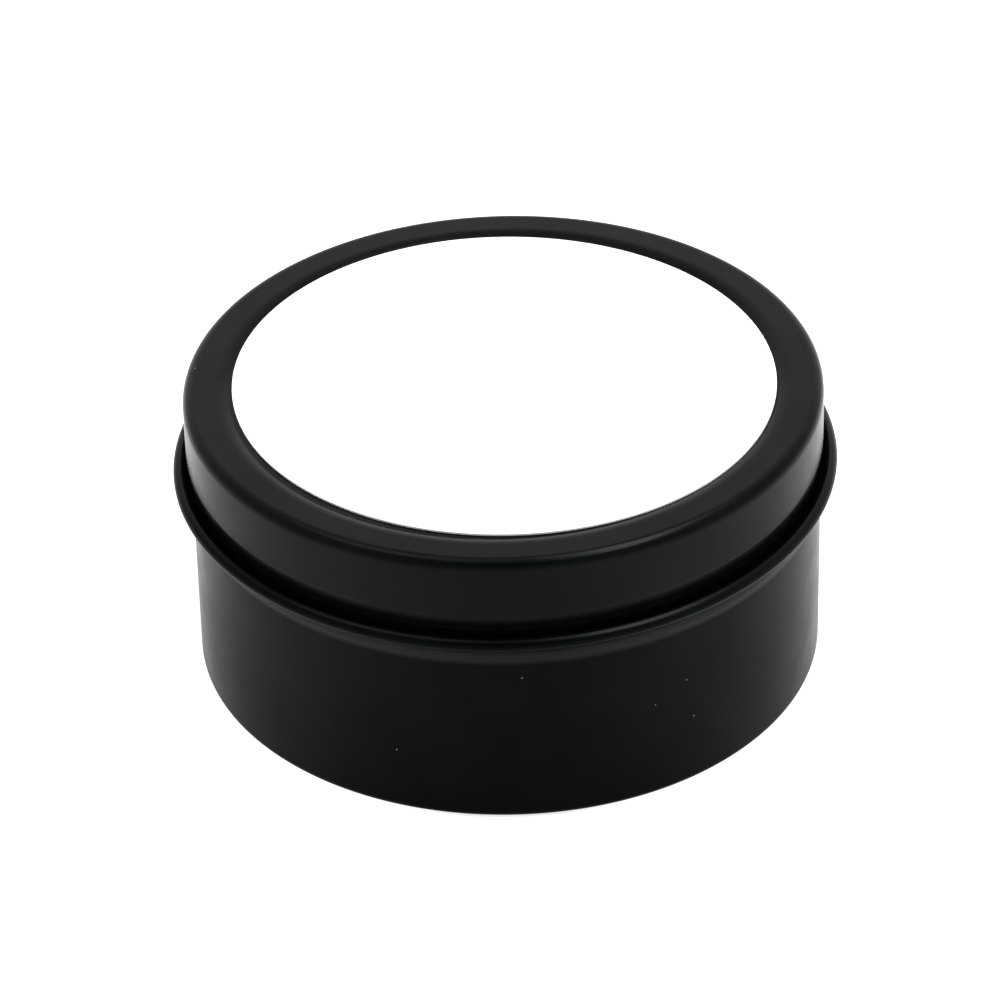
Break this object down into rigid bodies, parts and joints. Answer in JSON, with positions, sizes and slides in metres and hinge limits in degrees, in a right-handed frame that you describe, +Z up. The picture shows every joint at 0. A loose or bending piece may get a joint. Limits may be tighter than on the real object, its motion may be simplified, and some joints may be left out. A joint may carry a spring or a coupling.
{
  "type": "candle tin",
  "caption": "Low round slip-lid candle tin in black painted tinplate with a rolled lid edge, a recessed white round label, and a poured wax candle with a cotton wick inside.",
  "frame": {"origin": "centre of the circle that the tin stands on, on the standing plane", "axes": "+Z up along the tin's axis of revolution, the way the lid lifts off; X and Y are free, because the tin is round"},
  "size_m": [0.0836, 0.0836, 0.0384],
  "materials": {
    "base_paint": "satin black paint on tinplate",
    "lid_paint": "satin black paint on tinplate",
    "lid_label_stock": "plain white self-adhesive film, low gloss",
    "bottom_label_stock": "plain white self-adhesive film, low gloss",
    "soy_wax": "cream soy wax, soft satin with faint frosting",
    "wick_cotton": "braided cotton primed with wax",
    "tab_metal": "bright zinc-plated steel",
    "sticker_foam": "white foam adhesive disc"
  },
  "bodies": {
    "base": {"base_tin": "base_paint", "wax": "soy_wax", "wick": "wick_cotton", "wick_tab": "tab_metal", "wick_sticker": "sticker_foam", "bottom_label": "bottom_label_stock"},
    "lid": {"lid": "lid_paint", "lid_label": "lid_label_stock"}
  },
  "joints": [
    {"name": "lid_lift", "type": "slide", "parent": "base", "child": "lid", "axis": [0, 0, 1], "range_m": [0, 0.04]}
  ]
}
